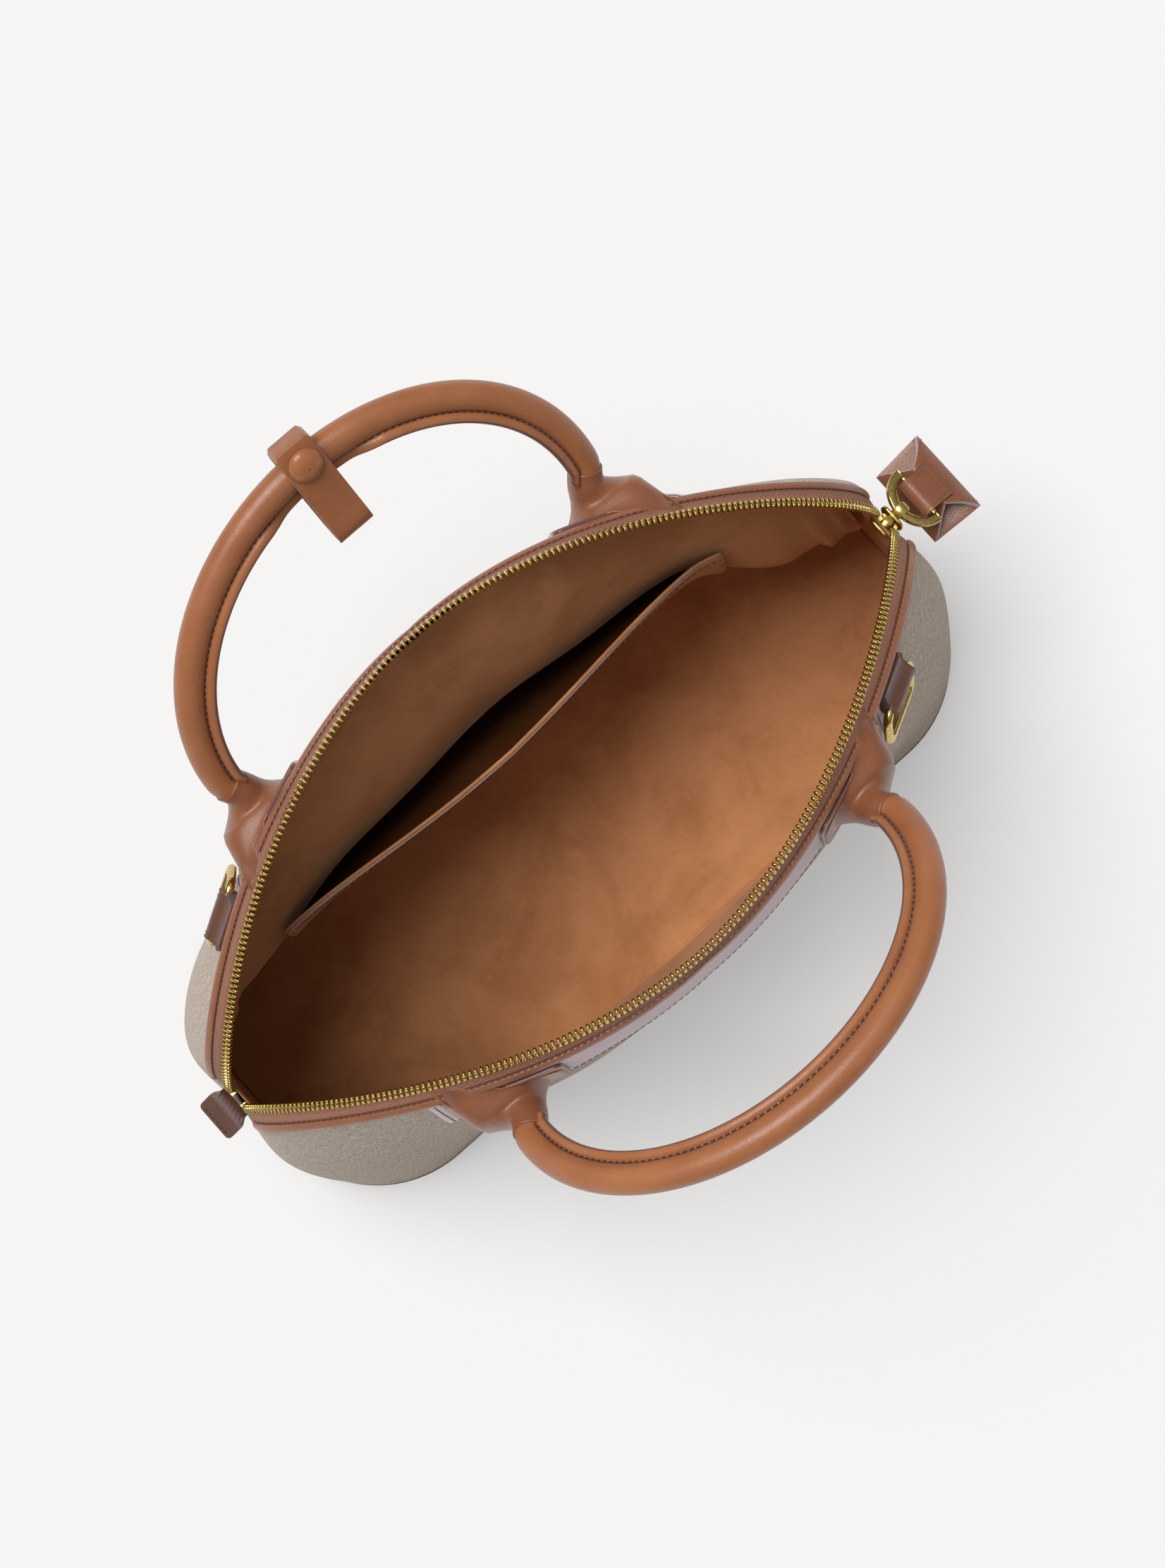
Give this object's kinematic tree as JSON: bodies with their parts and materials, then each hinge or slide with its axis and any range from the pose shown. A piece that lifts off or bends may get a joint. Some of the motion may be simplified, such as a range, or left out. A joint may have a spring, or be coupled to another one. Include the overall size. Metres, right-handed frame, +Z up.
{
  "type": "doctor bag",
  "caption": "Zip-top doctor bag in canvas with leather trim, an open domed mouth, two rolled handles, a snap tab, a flared zip pull and rings for a shoulder strap.",
  "frame": {"origin": "middle of the base panel's underside, on the floor", "axes": "+X along the length to the end where the zip slider is parked, -Y to the front, +Y to the back, +Z up"},
  "size_m": [0.4363, 0.3346, 0.2932],
  "materials": {
    "canvas": "woven linen and cotton canvas",
    "leather": "smooth vegetable-tanned, cognac",
    "dark_leather": "smooth, dark brown",
    "suede": "suede",
    "zip_tape": "herringbone woven tape",
    "gold": "polished gold plate",
    "board": "pressed fibre board",
    "cord": "twisted cotton cord"
  },
  "bodies": {
    "bag": {"front_panel": "canvas", "back_panel": "canvas", "base_panel": "dark_leather", "base_board": "board", "lining": "suede", "pocket_panel": "suede", "pocket_trim": "leather", "front_band": "leather", "back_band": "leather", "front_binding": "leather", "back_binding": "leather", "front_zip_tape": "zip_tape", "back_zip_tape": "zip_tape", "front_zip_teeth": "gold", "back_zip_teeth": "gold", "front_top_stop": "gold", "back_top_stop": "gold", "bottom_stop": "gold", "zip_end_tab": "dark_leather", "front_ring_keeper": "dark_leather", "back_ring_keeper": "dark_leather", "front_left_patch": "leather", "front_right_patch": "leather", "back_left_patch": "leather", "back_right_patch": "leather"},
    "slider": {"zip_slider": "gold"},
    "pull_ring": {"pull_ring": "gold"},
    "pull": {"pull_strap": "leather"},
    "front_ring": {"front_strap_ring": "gold"},
    "back_ring": {"back_strap_ring": "gold"},
    "front_handle": {"front_handle_cover": "leather", "front_handle_core": "cord"},
    "back_handle": {"back_handle_cover": "leather", "back_handle_core": "cord"},
    "snap": {"snap_tab": "leather", "snap_cap": "leather", "snap_stud": "gold"}
  },
  "joints": [
    {"name": "slider_play", "type": "slide", "parent": "bag", "child": "slider", "axis": [-0.2, 0, 0.9798], "range_m": [0, 0.002]},
    {"name": "pull_ring_hinge", "type": "hinge", "parent": "slider", "child": "pull_ring", "pos_m": [0.19814, 0, 0.132], "axis": [0, 1, 0], "range_deg": [-100, 8]},
    {"name": "pull_hinge", "type": "hinge", "parent": "pull_ring", "child": "pull", "pos_m": [0.20974, 0, 0.12683], "axis": [0, 1, 0], "range_deg": [-30, 15]},
    {"name": "front_ring_hinge", "type": "hinge", "parent": "bag", "child": "front_ring", "pos_m": [0.13736, -0.05902, 0.18639], "axis": [-0.8258, -0.4179, 0.3787], "range_deg": [0, 110]},
    {"name": "back_ring_hinge", "type": "hinge", "parent": "bag", "child": "back_ring", "pos_m": [-0.13736, 0.05902, 0.18639], "axis": [0.8258, 0.4179, 0.3787], "range_deg": [0, 110]},
    {"name": "front_handle_hinge", "type": "hinge", "parent": "bag", "child": "front_handle", "pos_m": [0, -0.08527, 0.203], "axis": [1, 0, 0], "range_deg": [-31, 88]},
    {"name": "back_handle_hinge", "type": "hinge", "parent": "bag", "child": "back_handle", "pos_m": [0, 0.08527, 0.203], "axis": [-1, 0, 0], "range_deg": [-35, 85]},
    {"name": "snap_tab_hinge", "type": "hinge", "parent": "back_handle", "child": "snap", "pos_m": [0.01168, 0.15956, 0.27859], "axis": [0.9998, -0.0125, -0.0127], "range_deg": [-20, 20]}
  ]
}
